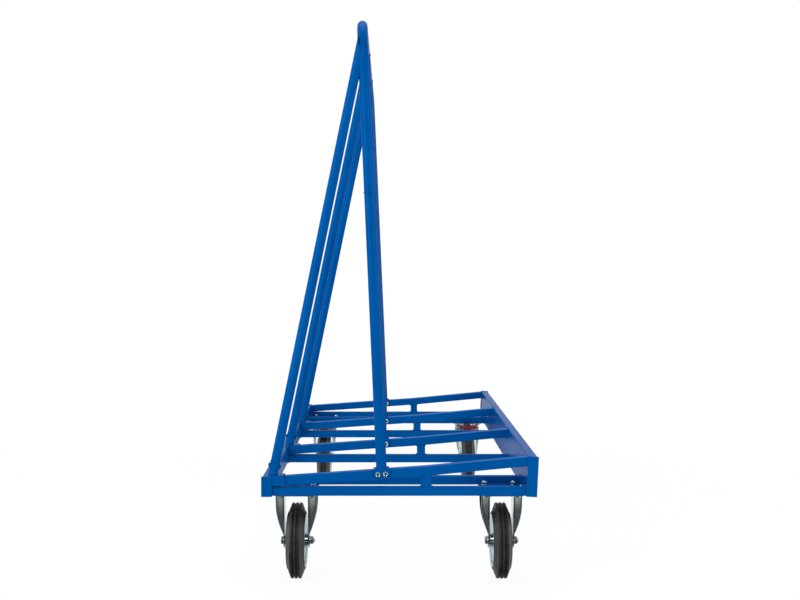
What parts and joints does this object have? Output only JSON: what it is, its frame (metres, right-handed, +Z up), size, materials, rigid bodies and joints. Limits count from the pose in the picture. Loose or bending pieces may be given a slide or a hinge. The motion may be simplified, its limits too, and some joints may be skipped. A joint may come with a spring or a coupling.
{
  "type": "drywall cart",
  "caption": "Steel cart that carries boards on edge: sloping open deck, braced posts under a bent hoop, fixed castors at one end and braked swivel castors at the other.",
  "frame": {"origin": "on the floor, below the centre of the cart's outline", "axes": "+Z up, +Y along the cart from the fixed castors to the swivel castors, +X from the braces to the high side of the deck"},
  "size_m": [0.73, 1.5194, 1.508],
  "materials": {
    "blue_paint": "gloss",
    "zinc_plate": "satin",
    "plain_steel": "satin",
    "tyre_rubber": "matte",
    "red_pedal": "satin"
  },
  "bodies": {
    "frame": {"left_rail": "blue_paint", "right_rail": "blue_paint", "rail_end_plates": "blue_paint", "bottom_rail_1": "blue_paint", "bottom_rail_2": "blue_paint", "bottom_rail_3": "blue_paint", "bottom_rail_4": "blue_paint", "deck_rail_1": "blue_paint", "deck_rail_2": "blue_paint", "deck_rail_3": "blue_paint", "deck_rail_4": "blue_paint", "deck_struts": "blue_paint", "castor_supports": "blue_paint", "castor_mounting_plates": "blue_paint", "lower_post_1": "blue_paint", "lower_post_2": "blue_paint", "lower_post_3": "blue_paint", "lower_post_4": "blue_paint", "front_hoop": "blue_paint", "hoop_uprights": "blue_paint", "brace_1": "blue_paint", "brace_2": "blue_paint", "brace_3": "blue_paint", "tube_spigots": "plain_steel", "joint_screws": "blue_paint", "post_feet": "blue_paint", "brace_feet": "blue_paint", "foot_bolts": "zinc_plate", "foot_nuts": "zinc_plate", "fixed_housing_left": "zinc_plate", "fixed_housing_right": "zinc_plate", "axle_bolt_fixed_pair": "zinc_plate", "axle_sleeve_fixed_pair": "plain_steel", "swivel_top_plates": "zinc_plate", "swivel_ball_rings": "plain_steel", "king_pins": "plain_steel", "castor_bolts": "zinc_plate", "castor_nuts": "zinc_plate"},
    "wheel_fixed_left": {"tyre_fixed_left": "tyre_rubber", "rim_fixed_left": "zinc_plate", "bearing_fixed_left": "plain_steel"},
    "wheel_fixed_right": {"tyre_fixed_right": "tyre_rubber", "rim_fixed_right": "zinc_plate", "bearing_fixed_right": "plain_steel"},
    "wheel_swivel_left": {"tyre_swivel_left": "tyre_rubber", "rim_swivel_left": "zinc_plate", "bearing_swivel_left": "plain_steel"},
    "wheel_swivel_right": {"tyre_swivel_right": "tyre_rubber", "rim_swivel_right": "zinc_plate", "bearing_swivel_right": "plain_steel"},
    "swivel_left": {"swivel_fork_left": "zinc_plate", "axle_bolt_swivel_left": "zinc_plate", "axle_sleeve_swivel_left": "plain_steel", "pedal_pin_left": "plain_steel"},
    "pedal_left": {"brake_pedal_left": "red_pedal"},
    "swivel_right": {"swivel_fork_right": "zinc_plate", "axle_bolt_swivel_right": "zinc_plate", "axle_sleeve_swivel_right": "plain_steel", "pedal_pin_right": "plain_steel"},
    "pedal_right": {"brake_pedal_right": "red_pedal"}
  },
  "joints": [
    {"name": "wheel_fixed_left_spin", "type": "hinge", "parent": "frame", "child": "wheel_fixed_left", "pos_m": [-0.2775, -0.664, 0.1], "axis": [1, 0, 0], "continuous": true},
    {"name": "swivel_left_turn", "type": "hinge", "parent": "frame", "child": "swivel_left", "pos_m": [-0.2775, 0.664, 0.2], "axis": [0, 0, 1], "continuous": true},
    {"name": "wheel_swivel_left_spin", "type": "hinge", "parent": "swivel_left", "child": "wheel_swivel_left", "pos_m": [-0.2775, 0.609, 0.1], "axis": [1, 0, 0], "continuous": true},
    {"name": "brake_pedal_left_tilt", "type": "hinge", "parent": "swivel_left", "child": "pedal_left", "pos_m": [-0.2775, 0.598, 0.212], "axis": [1, 0, 0], "range_deg": [0, 18]},
    {"name": "wheel_fixed_right_spin", "type": "hinge", "parent": "frame", "child": "wheel_fixed_right", "pos_m": [0.27243, -0.664, 0.1], "axis": [1, 0, 0], "continuous": true},
    {"name": "swivel_right_turn", "type": "hinge", "parent": "frame", "child": "swivel_right", "pos_m": [0.27243, 0.664, 0.2], "axis": [0, 0, 1], "continuous": true},
    {"name": "wheel_swivel_right_spin", "type": "hinge", "parent": "swivel_right", "child": "wheel_swivel_right", "pos_m": [0.27243, 0.609, 0.1], "axis": [1, 0, 0], "continuous": true},
    {"name": "brake_pedal_right_tilt", "type": "hinge", "parent": "swivel_right", "child": "pedal_right", "pos_m": [0.27243, 0.598, 0.212], "axis": [1, 0, 0], "range_deg": [0, 18]}
  ]
}
